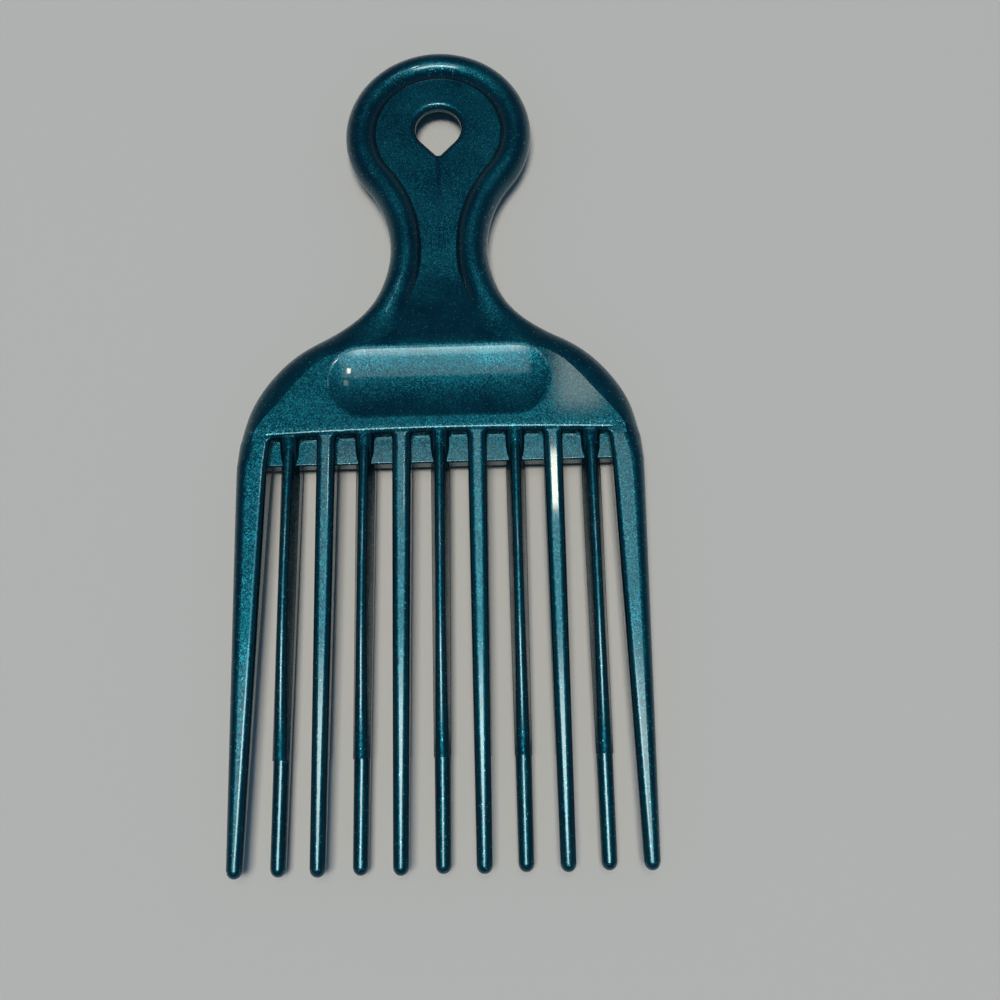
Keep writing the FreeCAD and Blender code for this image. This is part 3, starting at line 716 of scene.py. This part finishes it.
@dataclass(frozen=True)
class PaleFloor:
    """Plain pale floor under the pick."""

    colour: Colour = (0.73, 0.695, 0.68)
    roughness: float = 0.85
    half_side: float = 4.0

    def build(self) -> None:
        """Lay the floor at the height that the pick rests on."""
        side = self.half_side
        mesh = bpy.data.meshes.new("floor")
        corners = [(-side, -side, 0.0), (side, -side, 0.0), (side, side, 0.0), (-side, side, 0.0)]
        mesh.from_pydata(corners, [], [(0, 1, 2, 3)])
        floor = bpy.data.objects.new("floor", mesh)
        floor.location.z = CAD_BOX[0].z
        bpy.context.scene.collection.objects.link(floor)
        material = bpy.data.materials.new("floor_matt")
        bench = NodeBench(material)
        inputs = {"Base Color": (*self.colour, 1.0), "Roughness": self.roughness}
        shader = bench.add("ShaderNodeBsdfPrincipled", inputs)
        bench.output("ShaderNodeOutputMaterial", shader.outputs["BSDF"])
        mesh.materials.append(material)
        LOG.info("laid the floor")


@dataclass(frozen=True)
class SoftBox:
    """Rectangular lamp, placed by the directions that it fills as seen from the pick.

    Its left, right, near and far edges are angles from straight up in degrees, and feather is the
    angle over which it fades at its edges. Lamps hang at different heights, because lamps in one
    plane hide one another in mirror reflections.
    """

    name: str
    left: float
    right: float
    near: float
    far: float
    height: float
    radiance: float
    feather: float
    colour: Colour

    def build(self) -> None:
        """Hang the lamp level above the pick, facing down."""
        angles = (self.left, self.right, self.near, self.far)
        left, right, near, far = (self.height * math.tan(math.radians(angle)) for angle in angles)
        lamp = bpy.data.lights.new(self.name, "AREA")
        lamp.shape = "RECTANGLE"
        lamp.size = right - left
        lamp.size_y = far - near
        lamp.energy = self.radiance * math.pi * lamp.size * lamp.size_y
        lamp.color = self.colour
        self._fade_edges(lamp)
        holder = bpy.data.objects.new(self.name, lamp)
        holder.location = ((left + right) / 2, (near + far) / 2, self.height)
        bpy.context.scene.collection.objects.link(holder)
        LOG.info("hung %s", self.name)

    def _fade_edges(self, lamp: bpy.types.Light) -> None:
        """Let the lamp fade towards its edges, as the cloth of a softbox does.

        Args:
            lamp: The area lamp.
        """
        bench = NodeBench(lamp)
        axes = bench.axes(bench.add("ShaderNodeNewGeometry").outputs["Parametric"])
        fades = []
        for axis, breadth in (("X", self.right - self.left), ("Y", self.far - self.near)):
            from_middle = bench.distance(axes[axis], 0.5)
            fades.append(bench.band(from_middle, 0.5 - self.feather / breadth, 0.5, 1.0, 0.0))
        glow = bench.add("ShaderNodeEmission", {"Strength": bench.product(*fades)})
        bench.output("ShaderNodeOutputLight", glow.outputs["Emission"])


WIDE_SOFTBOX = SoftBox(
    name="wide_softbox",
    left=-13.0,
    right=9.0,
    near=-6.0,
    far=19.5,
    height=5.0,
    radiance=1.8,
    feather=2.0,
    colour=(1.0, 0.99, 0.88),
)
KEY_SOFTBOX = SoftBox(
    name="key_softbox",
    left=-17.0,
    right=11.0,
    near=-13.5,
    far=5.5,
    height=4.8,
    radiance=18.0,
    feather=7.0,
    colour=(1.0, 0.99, 0.88),
)
SIDE_LAMP = SoftBox(
    name="side_lamp",
    left=2.6,
    right=6.8,
    near=19.8,
    far=24.8,
    height=4.9,
    radiance=5.0,
    feather=1.4,
    colour=(1.0, 0.99, 0.85),
)
WARM_LAMP = SoftBox(
    name="warm_lamp",
    left=1.8,
    right=4.4,
    near=11.8,
    far=15.7,
    height=4.6,
    radiance=40.0,
    feather=0.5,
    colour=(1.0, 0.92, 0.74),
)


@dataclass(frozen=True)
class Studio:
    """Plain soft light: lamps overhead in a dim room that is paler at the horizon.

    The two heights are those of the unit direction where the horizon's colour ends and where the
    zenith's begins. Only the camera sees the backdrop.
    """

    zenith: Colour = (0.02, 0.08, 0.15)
    horizon: Colour = (0.20, 0.21, 0.23)
    backdrop: Colour = (0.60, 0.60, 0.61)
    horizon_height: float = 0.05
    zenith_height: float = 0.6
    lamps: tuple[SoftBox, ...] = (WIDE_SOFTBOX, KEY_SOFTBOX, SIDE_LAMP, WARM_LAMP)

    def build(self) -> None:
        """Set the view transform, light the world and hang the lamps."""
        scene = bpy.context.scene
        scene.view_settings.view_transform = "Standard"
        scene.world = bpy.data.worlds.new("studio")
        bench = NodeBench(scene.world)
        upness = bench.axes(bench.add("ShaderNodeTexCoord").outputs["Generated"])["Z"]
        share = bench.band(upness, self.horizon_height, self.zenith_height, 0.0, 1.0)
        room = bench.mix(share, self.horizon, self.zenith)
        seen = bench.add("ShaderNodeLightPath").outputs["Is Camera Ray"]
        sky = bench.add("ShaderNodeBackground", {"Color": bench.mix(seen, room, self.backdrop)})
        bench.output("ShaderNodeOutputWorld", sky.outputs["Background"])
        for lamp in self.lamps:
            lamp.build()


@dataclass(frozen=True)
class Viewpoint:
    """Camera above the teeth, tilted a little towards the handle.

    Tilt, pan and turn are its angles about X, Y and Z in degrees. Lens and sensor are in
    millimetres, as Blender has them.
    """

    x: float = 13.12 * MILLIMETRE
    y: float = -65.72 * MILLIMETRE
    height: float = 185.28 * MILLIMETRE
    tilt: float = 15.252
    pan: float = 0.976
    turn: float = -1.275
    lens: float = 36.0
    sensor: float = 36.0
    clip_start: float = 0.01
    clip_end: float = 50.0

    def build(self) -> None:
        """Make the camera and look through it."""
        data = bpy.data.cameras.new("camera")
        data.sensor_width = self.sensor
        data.lens = self.lens
        data.clip_start = self.clip_start
        data.clip_end = self.clip_end
        camera = bpy.data.objects.new("camera", data)
        camera.location = (self.x, self.y, self.height)
        camera.rotation_euler = tuple(math.radians(angle) for angle in (self.tilt, self.pan, self.turn))
        bpy.context.scene.collection.objects.link(camera)
        bpy.context.scene.camera = camera
        LOG.info("placed the camera")


def named(prefix: str) -> tuple[str, ...]:
    """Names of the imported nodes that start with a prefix, in order of name."""
    return tuple(sorted(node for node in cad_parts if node.startswith(prefix)))


def main() -> None:
    """Dress the pick piece by piece and set it in the studio."""
    logging.basicConfig(level=logging.INFO)
    plastic = PearlPlastic()
    handle = Handle("handle", ("handle_rim", "handle_panel"), Mark.WELD_LINE)
    handle.dress(plastic)
    # The shoulder's edge mark paints pale wear and a highlight along the wall edge.
    shoulder = Shoulder("shoulder", ("shoulder",), Mark.EDGE_WEAR_AND_HIGHLIGHT)
    shoulder.dress(plastic)
    front_nodes = named("front_tooth")
    guards = (front_nodes[0], front_nodes[-1])
    front = ToothRow("front_row", front_nodes, far_way=-1, guards=guards)
    rear = ToothRow("rear_row", named("rear_tooth"), far_way=1)
    for row in (front, rear):
        row.dress(plastic)
        row.build_ridges(plastic)
        row.build_parting_lines(plastic)
    webs = Moulding("webs", named("web_"))
    webs.dress(plastic)
    PaleFloor().build()
    Studio().build()
    Viewpoint().build()


if __name__ == "__main__":
    main()
